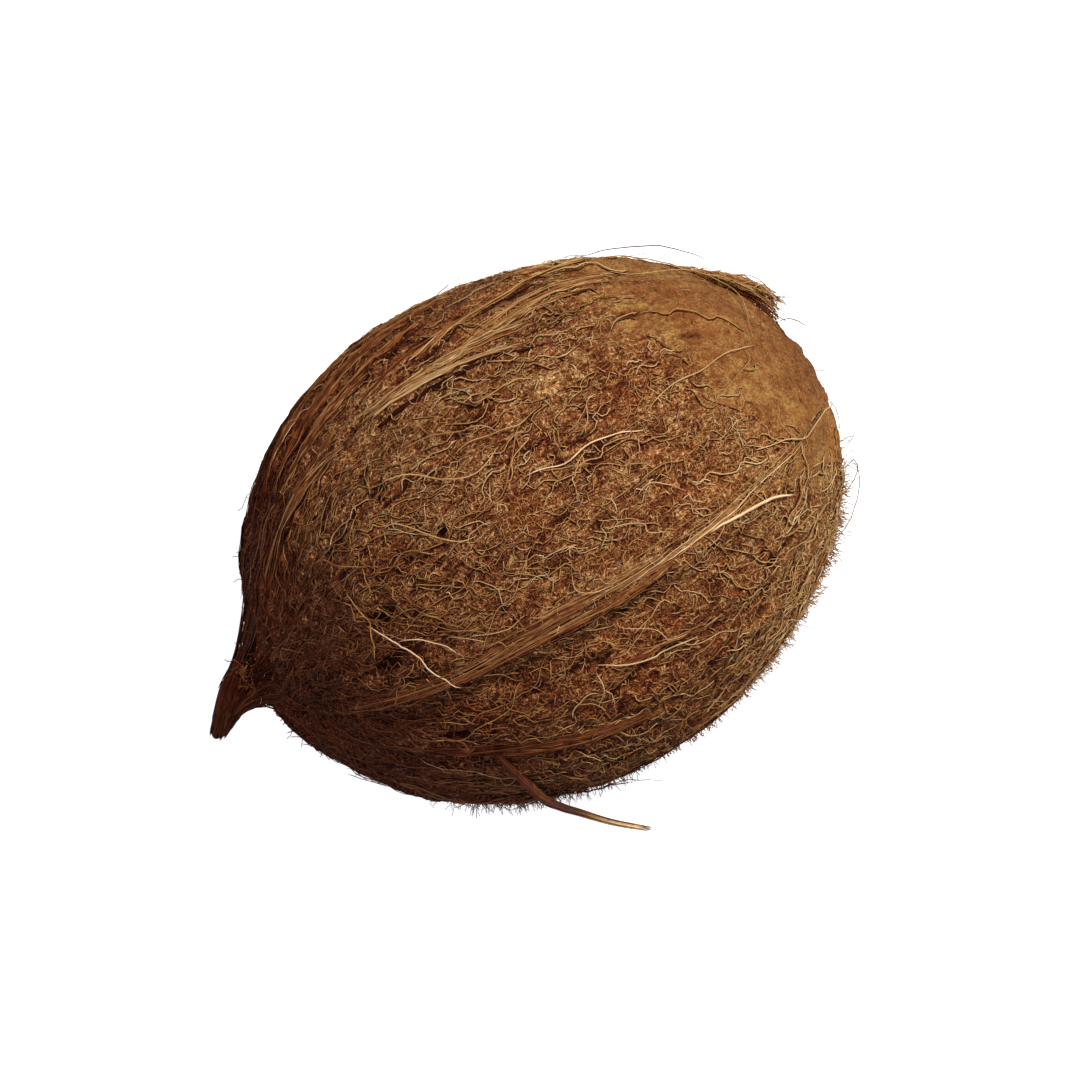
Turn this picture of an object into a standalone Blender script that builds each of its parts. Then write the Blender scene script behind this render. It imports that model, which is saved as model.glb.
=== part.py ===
"""A husked coconut lying on its side, in metres, +Z up.

The nut is one grown thing: a hard ovoid shell, still clad in the brown husk fibre that grew on it. The fibre
is modelled as the nut's own surface, with its lengthwise bundles and three seams raised by a formula. The
straps of husk left on it, the tuft at the pointed end, the frayed flap near the blunt end, the bundle that
trails to the floor and the wiry strands are sunk into that surface and fused with it.

The origin is the middle of the small flat spot that the nut rests on. +X runs along the nut to its blunt end.
A place on the nut is given by `along`, degrees from the widest ring (-90 the pointed end, 90 the blunt end),
`turn`, degrees round the nut (0 the top, 90 the front at -Y, 180 the bottom), and `lift`, metres above the
fibre.
"""

import math
import random

import bmesh
import bpy
from mathutils import Matrix, Vector, noise

# The nut
BLUNT_HALF = 0.0658
POINTED_HALF = 0.0638
RADIUS = 0.0512
POINT_TAPER = 0.34
TILT = math.radians(4.0)
REST_DEPTH = 0.0006

# Its fibre cladding
COLUMNS = 104
RINGS = 16
BUNDLE_RISE = 0.0013
BUNDLES_ROUND = 9.0
RIB_RISE = 0.0008
RIB_MEAN = 0.65
RIB_PATCHES_ROUND = 14.0
LUMP_RISE = 0.0008
LUMPS_ROUND = 3.4
BUNDLE_WANDER = 4.0
WANDERS_ROUND = 2.6
BLUNT_WEAR = 0.6
SEAMS = (43.0, 163.0, 283.0)
SEAM_RISE = 0.0011
SEAM_HALF_WIDTH = 0.0046
SHELL_RIDGE = 0.012
BARE_REST = 0.013
BARE_REST_EDGE = 0.012

# Strands
STRAND_COUNT = 97
STRAND_THICKNESS = 0.0009
STRAND_POINTS = 5
STRAND_LENGTH = (0.011, 0.027)
STRAND_ROOT = 0.0013
STRAND_ARCH = (0.0005, 0.0016)
STRAND_HEADING = 42.0
STRAND_SWAY = (0.08, 0.20)
STRAND_WAVES = (0.6, 1.3)
FLOOR_CLEAR = 0.0012
SEED = 7

COIR_BROWN = (0.17, 0.085, 0.035, 1.0)
WELD = 0.00001

# Straps of husk that lie on the nut: half width and height in metres, then (along, turn) from end to end
STRAP_STEPS = 8
STRAP_ROOT = 0.0022
STRAP_EDGE_SHARE = 0.45
STRAP_TIP_SHARE = 0.25
STRAPS = (
    # the bands left along the three seams
    (0.0029, 0.0010, ((-58, 46), (-20, 44), (20, 42), (60, 44))),
    (0.0026, 0.0009, ((-52, 164), (0, 161), (48, 164))),
    (0.0027, 0.0010, ((-50, -79), (-5, -76), (46, -75))),
    # the straps high on the pointed half
    (0.0017, 0.0012, ((-38, -31), (-16, -35), (6, -37))),
    (0.0019, 0.0013, ((-12, -24), (12, -32), (36, -40))),
    (0.0014, 0.0012, ((-22, -19), (-3, -14), (7, -9))),
    (0.0015, 0.0009, ((8, -22), (30, -21), (50, -19))),
    (0.0018, 0.0011, ((-46, -52), (-14, -57), (22, -56))),
    # the straps low at the front, at the back and below
    (0.0020, 0.0010, ((-50, 70), (-28, 74), (-4, 77))),
    (0.0018, 0.0010, ((-30, 112), (-2, 108), (26, 112))),
    (0.0019, 0.0010, ((-36, -112), (-8, -108), (24, -114))),
    (0.0017, 0.0010, ((-10, -142), (14, -138), (40, -142))),
)

# Large strands laid by hand: thickness in metres, then (along, turn, lift in mm) from root to root or tip
LAID_STRANDS = (
    # the pale splinter beside the front seam
    (0.0017, ((14, 44, -1.5), (18, 45.5, 0.6), (24, 47.5, 1.3), (30, 50, 1.8), (35, 53, 2.0))),
    # long pale hairs on the pointed half
    (0.0009, ((-46, 20, -1.3), (-42, 26, 0.8), (-38, 32, 1.2), (-36, 40, 1.4), (-33, 48, -1.3))),
    (0.0009, ((-41, 7, -1.3), (-43, 14, 1.2), (-42, 21, 1.6), (-46, 29, -1.3))),
    (0.0009, ((-14, 58, -1.3), (-6, 59, 0.8), (2, 61, 1.0), (8, 64, -1.3))),
    (0.0009, ((-14, 58, -1.3), (-15, 62, 1.4), (-17, 67, -1.3))),
    (0.0009, ((8, 18, -1.3), (18, 16, 0.8), (30, 12, 1.0), (44, 11, 0.8), (52, 12, -1.3))),
    (0.0009, ((44, -22, -1.3), (52, -19, 0.8), (56, -10, 1.0), (56, 0, 0.8), (52, 8, -1.3))),
    # the hair that stands clear of the top
    (0.0009, ((-4, -58, -1.3), (4, -60, 1.6), (14, -62, 3.0), (24, -62, 2.8), (32, -62, 1.4))),
    # loops that cross at the front of the blunt end
    (0.0009, ((48, 66, -1.3), (56, 68, 3.2), (66, 74, 4.6), (72, 88, 3.6), (70, 104, -1.3))),
    (0.0009, ((38, 84, -1.3), (46, 88, 2.4), (56, 88, 4.4), (66, 82, 5.6), (74, 70, -1.3))),
    (0.0009, ((60, 92, -1.3), (62, 84, 3.0), (60, 74, 5.0), (54, 66, 4.4), (50, 56, -1.3))),
    (0.0009, ((30, 96, -1.3), (38, 94, 2.4), (46, 92, 3.4), (54, 94, 2.2), (58, 98, -1.3))),
)

# The frayed flap: strands that leave one root and fan out over the back of the blunt end
FLAP_ROOT = (42, -49)
FLAP_REACH = 27
FLAP_DRIFT = 23.0
FLAP_STRANDS = 7
FLAP_FAN = 9.0
FLAP_LIFT = 0.0040
FLAP_POINTS = 5

# The bundle that trails to the floor, as points in metres beside the nut
TRAILING_BUNDLE = (
    (-0.0343, -0.0391, 0.0606),
    (-0.0290, -0.0460, 0.0455),
    (-0.0239, -0.0464, 0.0340),
    (-0.0188, -0.0458, 0.0235),
    (-0.0114, -0.0470, 0.0115),
    (-0.0030, -0.0504, 0.0032),
)
BUNDLE_THICKNESS = 0.0021

# The tuft at the pointed end
TUFT_PLACE = (-79, -72)
TUFT_LENGTH = 0.0160
TUFT_ROOT_DEPTH = 0.0075
TUFT_ROOT_RADIUS = 0.0060
TUFT_TIP_RADIUS = 0.0018
TUFT_LOBES = 8
TUFT_LOBE_DEPTH = 0.16
TUFT_TWIST = math.radians(70)
TUFT_BEND = Vector((-0.72, -0.32, -0.62))
TUFT_POINTS = 7
TUFT_WISPS = 8


def smoothstep(low, high, value):
    share = min(1.0, max(0.0, (value - low) / (high - low)))
    return share * share * (3.0 - 2.0 * share)


def rest_point():
    """The nut's lowest point, from its middle, before the rest spot is pressed in."""
    half = (BLUNT_HALF + POINTED_HALF) / 2
    depth = math.hypot(RADIUS * math.cos(TILT), half * math.sin(TILT))
    aside = (RADIUS**2 - half**2) * math.sin(TILT) * math.cos(TILT) / depth
    return Vector((aside, 0.0, -depth))


def nut_to_world():
    """Places the nut, modelled level about its middle, on its rest spot with the pointed end a little low."""
    low = rest_point()
    middle = Vector((-low.x, 0.0, -low.z - REST_DEPTH))
    return Matrix.Translation(middle) @ Matrix.Rotation(-TILT, 4, "Y")


NUT_PLACE = nut_to_world()


def smooth_nut(along, turn):
    """(point, outward normal) on the bare ovoid, in the nut's own axes."""
    share = math.sin(math.radians(along))
    angle = math.radians(turn)
    half = BLUNT_HALF if share > 0 else POINTED_HALF
    taper = 1.0 - POINT_TAPER * share**6 if share < 0 else 1.0
    radius = RADIUS * math.cos(math.radians(along)) * taper
    radius *= 1.0 + SHELL_RIDGE * math.cos(3.0 * (angle - math.radians(SEAMS[0])))
    outward = Vector((0.0, -math.sin(angle), math.cos(angle)))
    point = Vector((share * half, 0.0, 0.0)) + radius * outward
    normal = Vector((point.x / half**2, point.y / RADIUS**2, point.z / RADIUS**2)).normalized()
    return point, normal


def wrapped(turn):
    """The turn brought between -180 and 180."""
    return (turn + 180.0) % 360.0 - 180.0


def wander(along, turn):
    """Degrees that the lengthwise bundles stray sideways at a place."""
    angle = math.radians(turn)
    share = math.sin(math.radians(along))
    ring = WANDERS_ROUND * Vector((math.cos(angle), math.sin(angle), share))
    return BUNDLE_WANDER * noise.noise(ring)


def fibre_rise(along, turn):
    """Height of the fibre above the ovoid: lengthwise bundles with finer ribs on them, lumps and seams."""
    share = math.sin(math.radians(along))
    round_scale = math.cos(math.radians(along))
    strayed = math.radians(turn + wander(along, turn))
    across = Vector((math.cos(strayed), math.sin(strayed), 0.0))
    bundles = noise.noise(BUNDLES_ROUND * across + Vector((0.0, 0.0, 1.5 * share)))
    rib_patches = RIB_MEAN + noise.noise(RIB_PATCHES_ROUND * across + Vector((0.0, 7.0, 3.5 * share)))
    # One rib to every two columns of the mesh, so that each rib has a column on its crest.
    ribs = math.cos(0.5 * COLUMNS * strayed) * rib_patches * round_scale
    lumps = noise.noise(LUMPS_ROUND * across + Vector((4.0, 0.0, 3.0 * share)))
    # The husk is worn to a short nap round the blunt end, so the bundles are lower there.
    worn = 1.0 - BLUNT_WEAR * smoothstep(30.0, 60.0, along)
    rise = worn * (BUNDLE_RISE * bundles + RIB_RISE * ribs) + LUMP_RISE * lumps
    for seam in SEAMS:
        distance = abs(math.radians(wrapped(turn - seam))) * RADIUS * round_scale
        ends = smoothstep(66.0, 48.0, abs(along))
        rise += SEAM_RISE * ends * (1.0 - smoothstep(0.5 * SEAM_HALF_WIDTH, 1.3 * SEAM_HALF_WIDTH, distance))
    point, _ = smooth_nut(along, turn)
    low = rest_point()
    from_rest = (Matrix.Rotation(-TILT, 3, "Y") @ point - low).length
    rise *= smoothstep(BARE_REST, BARE_REST + BARE_REST_EDGE, from_rest)
    return rise * smoothstep(0.0, 14.0, 90.0 - abs(along))


def on_nut(along, turn, lift=0.0):
    """The world point that stands `lift` above the fibre at a place on the nut."""
    point, normal = smooth_nut(along, turn)
    return NUT_PLACE @ (point + normal * (fibre_rise(along, turn) + lift))


def clad_nut():
    """The ovoid with its raised fibre, cut flat where it rests, as a mesh object."""
    shape = bmesh.new()
    bmesh.ops.create_uvsphere(shape, u_segments=COLUMNS, v_segments=RINGS, radius=1.0)
    for vert in shape.verts:
        along = math.degrees(math.asin(max(-1.0, min(1.0, vert.co.z))))
        turn = math.degrees(math.atan2(vert.co.y, vert.co.x))
        # Each column of the mesh follows the bundles, so that the ribs are crisp.
        vert.co = on_nut(along, turn - wander(along, turn))
    bmesh.ops.recalc_face_normals(shape, faces=shape.faces)
    everything = shape.verts[:] + shape.edges[:] + shape.faces[:]
    cut = bmesh.ops.bisect_plane(
        shape, geom=everything, plane_co=(0, 0, 0), plane_no=(0, 0, -1), clear_outer=True
    )
    rim = [item for item in cut["geom_cut"] if isinstance(item, bmesh.types.BMEdge)]
    bmesh.ops.contextual_create(shape, geom=rim)
    bmesh.ops.recalc_face_normals(shape, faces=shape.faces)
    mesh = bpy.data.meshes.new("coconut")
    shape.to_mesh(mesh)
    shape.free()
    return bpy.data.objects.new("coconut", mesh)


def place_on_route(places, run):
    """The (along, turn) at a share of the way along straight stretches between places, and its direction."""
    stretch = min(int(run * (len(places) - 1)), len(places) - 2)
    first, second = Vector(places[stretch]), Vector(places[stretch + 1])
    place = first.lerp(second, run * (len(places) - 1) - stretch)
    heading = second - first
    return place, Vector((heading.x, heading.y * math.cos(math.radians(place.x)))).normalized()


def strap(name, half_width, height, places, strands):
    """A flat band of husk that follows the nut and tapers to both ends, made from a grid with thickness."""
    shape = bmesh.new()
    bmesh.ops.create_grid(shape, x_segments=STRAP_STEPS, y_segments=2, size=1.0)
    for vert in shape.verts:
        run, side = (vert.co.x + 1.0) / 2.0, vert.co.y
        place, heading = place_on_route(places, run)
        taper = STRAP_TIP_SHARE + (1.0 - STRAP_TIP_SHARE) * math.sin(math.pi * run) ** 0.6
        offset = side * half_width * taper
        along = place.x + math.degrees(heading.y * offset / BLUNT_HALF)
        turn = place.y - math.degrees(heading.x * offset / (RADIUS * math.cos(math.radians(along))))
        crown = 1.0 - (1.0 - STRAP_EDGE_SHARE) * abs(side)
        sunk = STRAP_ROOT * (run in (0.0, 1.0))
        vert.co = on_nut(along, turn, height * crown - sunk)
    mesh = bpy.data.meshes.new(name)
    shape.to_mesh(mesh)
    shape.free()
    band = bpy.data.objects.new(name, mesh)
    strands.objects.link(band)
    thickness = band.modifiers.new("thickness", "SOLIDIFY")
    thickness.thickness = height + STRAP_ROOT
    thickness.offset = -1.0


def straps(strands):
    for index, (half_width, height, places) in enumerate(STRAPS):
        strap(f"strap_{index:02d}", half_width, height, places, strands)


def profile_curve(name, outline, guides):
    """A closed flat outline that a strand's bevel follows."""
    curve = bpy.data.curves.new(name, "CURVE")
    curve.dimensions = "2D"
    spline = curve.splines.new("POLY")
    spline.points.add(len(outline) - 1)
    for point, (x, y) in zip(spline.points, outline):
        point.co = (x, y, 0.0, 1.0)
    spline.use_cyclic_u = True
    profile = bpy.data.objects.new(name, curve)
    profile.hide_render = True
    guides.objects.link(profile)
    return profile


def polygon(sides, lobe_depth=0.0):
    """A regular polygon of radius 1, whose every other corner may be drawn in to make lobes."""
    corners = []
    for index in range(sides):
        radius = 1.0 - lobe_depth * (index % 2)
        angle = math.tau * index / sides
        corners.append((radius * math.cos(angle), radius * math.sin(angle)))
    return corners


def strand(name, path, radii, profile, strands, twist=0.0):
    """A closed tube along the path, its outline scaled to each radius, as a mesh among the strands."""
    curve = bpy.data.curves.new(name, "CURVE")
    curve.dimensions = "3D"
    curve.bevel_mode = "OBJECT"
    curve.bevel_object = profile
    curve.use_fill_caps = True
    spline = curve.splines.new("POLY")
    spline.points.add(len(path) - 1)
    for index, (point, place, radius) in enumerate(zip(spline.points, path, radii)):
        point.co = (*place, 1.0)
        point.radius = radius
        point.tilt = twist * index / (len(path) - 1)
    guide = bpy.data.objects.new(name + "_line", curve)
    strands.objects.link(guide)
    bpy.context.view_layer.update()
    evaluated = guide.evaluated_get(bpy.context.evaluated_depsgraph_get())
    mesh = bpy.data.meshes.new_from_object(evaluated)
    tube = bpy.data.objects.new(name, mesh)
    tube.matrix_world = guide.matrix_world
    bpy.data.objects.remove(guide)
    shape = bmesh.new()
    shape.from_mesh(mesh)
    bmesh.ops.remove_doubles(shape, verts=shape.verts, dist=WELD)
    bmesh.ops.recalc_face_normals(shape, faces=shape.faces)
    shape.to_mesh(mesh)
    shape.free()
    strands.objects.link(tube)
    return tube


def scattered_strands(profile, strands):
    """Wiry strands spread evenly by a golden-angle spiral, each rooted at both ends and arched between."""
    draw = random.Random(SEED)
    golden = 180.0 * (3.0 - math.sqrt(5.0))
    for index in range(STRAND_COUNT):
        share = (index + 0.5) / STRAND_COUNT
        middle_along = math.degrees(math.asin(1.76 * share - 0.95))
        middle_turn = wrapped(index * golden + draw.uniform(-9, 9))
        length = draw.uniform(*STRAND_LENGTH)
        heading = math.radians(draw.uniform(-STRAND_HEADING, STRAND_HEADING))
        arch = draw.uniform(*STRAND_ARCH)
        waves = draw.uniform(*STRAND_WAVES)
        sway = draw.uniform(*STRAND_SWAY) * length
        phase = draw.uniform(0, math.tau)
        path = []
        for step in range(STRAND_POINTS):
            run = step / (STRAND_POINTS - 1)
            forward = (run - 0.5) * length
            aside = sway * math.sin(math.tau * waves * run + phase)
            ahead = forward * math.cos(heading) - aside * math.sin(heading)
            across = forward * math.sin(heading) + aside * math.cos(heading)
            along = middle_along + math.degrees(ahead / BLUNT_HALF)
            round_scale = max(0.35, math.cos(math.radians(along)))
            turn = middle_turn + math.degrees(across / (RADIUS * round_scale))
            lift = arch * math.sin(math.pi * run) ** 0.6 - STRAND_ROOT * (step in (0, STRAND_POINTS - 1))
            path.append(on_nut(max(-84.0, min(84.0, along)), turn, lift))
        if min(place.z for place in path) > FLOOR_CLEAR:
            radii = [STRAND_THICKNESS / 2] * STRAND_POINTS
            strand(f"strand_{index:03d}", path, radii, profile, strands)


def laid_strands(profile, strands):
    for index, (thickness, places) in enumerate(LAID_STRANDS):
        path = [on_nut(along, turn, lift / 1000) for along, turn, lift in places]
        strand(f"laid_{index:02d}", path, [thickness / 2] * len(path), profile, strands)


def frayed_flap(profile, strands):
    """Strands that share a root and fan out, lifting as they go."""
    for index in range(FLAP_STRANDS):
        side = 2.0 * index / (FLAP_STRANDS - 1) - 1.0
        path = []
        for step in range(FLAP_POINTS):
            run = step / (FLAP_POINTS - 1)
            along = FLAP_ROOT[0] + FLAP_REACH * run * (1.0 - 0.15 * abs(side))
            turn = FLAP_ROOT[1] + FLAP_DRIFT * run + side * (2.0 + FLAP_FAN * run)
            lift = FLAP_LIFT * run * (0.6 + 0.4 * (index % 3)) - STRAND_ROOT * (step == 0)
            path.append(on_nut(along, turn, lift))
        strand(f"flap_{index}", path, [STRAND_THICKNESS / 2] * len(path), profile, strands)


def trailing_bundle(profile, strands):
    path = [Vector(place) for place in TRAILING_BUNDLE]
    last = len(path) - 1
    radii = [BUNDLE_THICKNESS / 2 * (1.0 - 0.35 * step / last) for step in range(last + 1)]
    strand("trailing_bundle", path, radii, profile, strands)


def tuft(core_profile, wisp_profile, strands):
    """The drooping tuft: a lobed core that narrows to a blunt tip, with wisps standing out of it."""
    root, _ = smooth_nut(*TUFT_PLACE)
    start = NUT_PLACE @ (root + Vector((TUFT_ROOT_DEPTH, 0.0, 0.0)))
    straight = NUT_PLACE.to_3x3() @ Vector((-1.0, 0.0, 0.0))
    whole = TUFT_ROOT_DEPTH + TUFT_LENGTH
    path = [start]
    for step in range(1, TUFT_POINTS):
        run = step / (TUFT_POINTS - 1)
        heading = straight.lerp(TUFT_BEND.normalized(), smoothstep(0.1, 0.8, run)).normalized()
        path.append(path[-1] + heading * whole / (TUFT_POINTS - 1))
    narrowing = (TUFT_TIP_RADIUS - TUFT_ROOT_RADIUS) / (TUFT_POINTS - 1)
    radii = [TUFT_ROOT_RADIUS + narrowing * step for step in range(TUFT_POINTS)]
    strand("tuft_core", path, radii, core_profile, strands, twist=TUFT_TWIST)
    for index in range(TUFT_WISPS):
        angle = math.tau * index / TUFT_WISPS
        outward = Vector((0.0, -math.sin(angle), math.cos(angle)))
        first = 2 + index % 3
        last = min(TUFT_POINTS - 1, first + 2)
        root = path[first] + outward * radii[first] * 0.45
        middle = (path[first] + path[last]) / 2 + outward * (radii[first] + 0.0009)
        tip = path[last] + (path[last] - path[first]) * 0.28 + outward * (radii[last] + 0.0008)
        strand(f"tuft_wisp_{index}", [root, middle, tip], [STRAND_THICKNESS / 2] * 3, wisp_profile, strands)


def coir_material():
    material = bpy.data.materials.new("coir")
    material.use_nodes = True
    shader = material.node_tree.nodes["Principled BSDF"]
    shader.inputs["Base Color"].default_value = COIR_BROWN
    shader.inputs["Roughness"].default_value = 0.95
    shader.inputs["Metallic"].default_value = 0.0
    return material


def fused(nut, strands):
    """The nut with every strand joined into it, as one closed mesh."""
    union = nut.modifiers.new("fuse_strands", "BOOLEAN")
    union.operation = "UNION"
    union.operand_type = "COLLECTION"
    union.collection = strands
    union.solver = "EXACT"
    bpy.context.view_layer.update()
    evaluated = nut.evaluated_get(bpy.context.evaluated_depsgraph_get())
    mesh = bpy.data.meshes.new_from_object(evaluated)
    shape = bmesh.new()
    shape.from_mesh(mesh)
    bmesh.ops.triangulate(shape, faces=shape.faces)
    shape.to_mesh(mesh)
    shape.free()
    nut.modifiers.clear()
    nut.data = mesh
    mesh.name = "coconut"
    for tube in list(strands.objects):
        bpy.data.objects.remove(tube)
    mesh.materials.clear()
    mesh.materials.append(coir_material())
    mesh.set_sharp_from_angle(angle=math.radians(50))


def build():
    for old in list(bpy.data.objects):
        bpy.data.objects.remove(old)
    scene = bpy.context.scene.collection
    coconut = bpy.data.collections.new("coconut")
    strands = bpy.data.collections.new("strands")
    guides = bpy.data.collections.new("outlines")
    for group in (coconut, strands, guides):
        scene.children.link(group)
    three_sided = profile_curve("three_sided", polygon(3), guides)
    five_sided = profile_curve("five_sided", polygon(5), guides)
    lobed = profile_curve("lobed", polygon(2 * TUFT_LOBES, TUFT_LOBE_DEPTH), guides)
    nut = clad_nut()
    coconut.objects.link(nut)
    straps(strands)
    scattered_strands(three_sided, strands)
    laid_strands(three_sided, strands)
    frayed_flap(three_sided, strands)
    trailing_bundle(five_sided, strands)
    tuft(lobed, three_sided, strands)
    fused(nut, strands)


build()
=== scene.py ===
import math

import bpy
import numpy as np
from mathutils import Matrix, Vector, noise


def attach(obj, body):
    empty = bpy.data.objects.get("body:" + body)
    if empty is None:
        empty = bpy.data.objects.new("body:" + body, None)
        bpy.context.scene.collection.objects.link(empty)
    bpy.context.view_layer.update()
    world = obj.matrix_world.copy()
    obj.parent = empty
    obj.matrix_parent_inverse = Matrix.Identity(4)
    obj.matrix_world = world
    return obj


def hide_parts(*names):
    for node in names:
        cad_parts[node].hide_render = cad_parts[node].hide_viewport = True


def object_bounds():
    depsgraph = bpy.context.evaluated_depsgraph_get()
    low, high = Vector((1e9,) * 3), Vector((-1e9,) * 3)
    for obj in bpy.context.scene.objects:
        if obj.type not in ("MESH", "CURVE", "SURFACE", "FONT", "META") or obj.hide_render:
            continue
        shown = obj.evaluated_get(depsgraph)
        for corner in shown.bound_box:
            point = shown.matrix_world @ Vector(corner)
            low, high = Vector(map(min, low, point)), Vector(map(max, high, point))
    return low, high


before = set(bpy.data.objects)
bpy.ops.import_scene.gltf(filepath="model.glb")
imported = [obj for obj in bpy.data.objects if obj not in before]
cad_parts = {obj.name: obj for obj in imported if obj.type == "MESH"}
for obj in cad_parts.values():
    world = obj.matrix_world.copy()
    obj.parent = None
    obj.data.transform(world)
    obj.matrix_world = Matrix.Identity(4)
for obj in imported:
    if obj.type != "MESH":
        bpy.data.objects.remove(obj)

cad_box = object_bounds()
bpy.ops.object.select_all(action="DESELECT")


# The nut
# A hard ovoid shell, still clad in the brown husk fibre that grew on it: bundles, three seams, lumps, swirls
# and cracks. It lies on its side, its pointed end a little low, on a small spot where the fibre is pressed
# flat. Over the raised fibre the finish draws the finest threads.
BLUNT_HALF = 0.0658
POINTED_HALF = 0.0638
RADIUS = 0.0512
POINT_TAPER = 0.34
SHELL_RIDGE = 0.012
TILT = math.radians(4.0)
REST_DEPTH = 0.0006
SEAMS = (43.0, 163.0, 283.0)
NUT_COLUMNS = 440
NUT_RINGS = 220
RIBS_ROUND = 52
# Hollows where a lump of fibre came out, darkened with painted shade: degrees along and round, half length
# and half width in mm.
HOLLOWS = np.array((
    (-46, 36, 3.2, 1.1), (-24, 14, 1.3, 0.9), (-31, 14, 1.6, 0.8), (-23, 36, 1.4, 0.8), (-41, 22, 3.4, 1.3),
    (-11, -2, 1.8, 0.7), (-28, -5, 2.4, 1.2), (-30, -12, 2.6, 0.7), (-4, 49, 2.2, 1.0), (14, 48, 1.3, 0.9),
    (-14, 56, 3.4, 1.2), (-27, 19, 1.5, 0.8), (-40, 64, 2.6, 0.9), (-26, 57, 3.0, 0.8), (-10, 66, 2.2, 0.9),
    (24, 62, 1.6, 0.8), (-36, 48, 2.4, 0.7), (2, 20, 1.4, 0.6), (-52, 50, 2.6, 0.8), (6, 74, 2.2, 0.8),
    (-18, 110, 3.0, 1.1), (12, 138, 2.6, 1.0), (-30, 178, 3.2, 1.1), (20, -150, 2.4, 1.0),
    (-12, -110, 3.0, 1.0),
))


def smooth(low, high, value):
    share = np.clip((value - low) / (high - low), 0.0, 1.0)
    return share * share * (3.0 - 2.0 * share)


def unit(rows):
    return rows / np.linalg.norm(rows, axis=-1, keepdims=True)


def shell(along, turn):
    """Points and outward normals on the bare shell, about its middle, at degrees along and round the nut."""
    share = np.sin(np.radians(along))
    angle = np.radians(turn)
    half = np.where(share > 0, BLUNT_HALF, POINTED_HALF)
    radius = RADIUS * np.cos(np.radians(along)) * np.where(share < 0, 1 - POINT_TAPER * share**6, 1.0)
    radius = radius * (1 + SHELL_RIDGE * np.cos(3 * (angle - math.radians(SEAMS[0]))))
    points = np.stack([share * half, -radius * np.sin(angle), radius * np.cos(angle)], -1)
    normals = points / np.stack([half**2, np.full_like(half, RADIUS**2), np.full_like(half, RADIUS**2)], -1)
    return points, unit(normals)


def laid_down(points):
    """Points about the nut's middle, tilted and set on the rest spot."""
    half = (BLUNT_HALF + POINTED_HALF) / 2
    depth = math.hypot(RADIUS * math.cos(TILT), half * math.sin(TILT))
    aside = (RADIUS**2 - half**2) * math.sin(TILT) * math.cos(TILT) / depth
    x, y, z = points[..., 0], points[..., 1], points[..., 2]
    level = math.cos(TILT) * x - math.sin(TILT) * z - aside
    return np.stack([level, y, math.sin(TILT) * x + math.cos(TILT) * z + depth - REST_DEPTH], -1)


noise.seed_set(7)  # else noise_vector starts from the clock, and no two runs are alike


def matted_fibre(along, turn):
    """(rise, shade) of the matted fibre at a place: metres over the shell, and 0 to 1 how far painted shade
    darkens it, more where the fibre lies low and most in cracks and hollows.
    """
    share, angle = math.sin(math.radians(along)), math.radians(turn)
    round_scale = math.cos(math.radians(along))
    ring = Vector((math.cos(angle), math.sin(angle), share))
    strayed = angle + math.radians(4.0 * noise.noise(2.6 * ring))
    across = Vector((math.cos(strayed), math.sin(strayed), 0.0))
    lift = Vector((0.0, 0.0, share))
    bundles = noise.noise(9.0 * across + 1.5 * lift)
    patches = 0.65 + noise.noise(14.0 * across + Vector((0.0, 7.0, 3.5 * share)))
    ribs = math.cos(RIBS_ROUND * strayed) * patches * round_scale
    lumps = noise.noise(3.4 * across + Vector((4.0, 0.0, 3.0 * share)))
    fold = smooth(22.0, 46.0, along)
    worn = 1.0 - 0.6 * fold
    rise = worn * (0.0013 * bundles + 0.0003 * ribs) + 0.0008 * lumps
    for seam in SEAMS:
        from_seam = abs(math.radians((turn - seam + 180.0) % 360.0 - 180.0)) * RADIUS * round_scale
        rise += 0.0011 * smooth(66.0, 48.0, abs(along)) * (1.0 - smooth(0.0023, 0.0060, from_seam))
    body = Vector((ring.x * round_scale, ring.y * round_scale, 1.2 * share))
    mat = noise.fractal(19.0 * body + Vector((0.0, 3.0, 0.0)), 1.0, 2.2, 3)
    swirl = 1.0 - min(1.0, 5.0 * abs(noise.noise(26.0 * body + 0.6 * noise.noise_vector(9.0 * body))))
    strand = 1.0 - min(1.0, 4.5 * abs(noise.noise(44.0 * across + 7.0 * lift)))
    crack = max(0.0, noise.noise(20.0 * across + Vector((5.0, 2.0, 4.5 * share))) - 0.36) * 3.0
    lengthwise = smooth(-10.0, -55.0, along)
    crack *= 1.0 - fold
    fine = worn * (0.00045 * mat + 0.00030 * swirl * (1.0 - 0.6 * lengthwise) + 0.00030 * strand * lengthwise)
    fine -= 0.0008 * crack + 0.0003
    lengths = np.radians(along - HOLLOWS[:, 0]) * RADIUS * 1e3 / HOLLOWS[:, 2]
    degrees_off = (turn - HOLLOWS[:, 1] + 180.0) % 360.0 - 180.0
    widths = np.radians(degrees_off) * RADIUS * round_scale * 1e3 / HOLLOWS[:, 3]
    sunk = float(np.max(smooth(1.15, 0.35, np.hypot(lengths, widths) + 0.35 * noise.noise(60.0 * body))))
    fine -= 0.0007 * sunk
    # painted shade: darker where the fibre lies low, most in cracks and hollows
    hollow = 0.20 - fine / 0.0013 + 0.6 * sunk
    point, _ = shell(np.array(along), np.array(turn))
    clear_of_rest = smooth(0.013, 0.025, float(laid_down(point)[2]) + 0.008)
    end = smooth(0.0, 14.0, 90.0 - abs(along))
    return (rise * end + fine) * clear_of_rest, min(1.0, max(0.0, hollow))


ring_along = np.linspace(-90.0, 90.0, NUT_RINGS + 1)
column_turn = np.arange(NUT_COLUMNS) * 360.0 / NUT_COLUMNS
relief = np.array([[matted_fibre(along, turn) for turn in column_turn] for along in ring_along])
relief[0], relief[-1] = relief[0].mean(0), relief[-1].mean(0)


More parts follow.
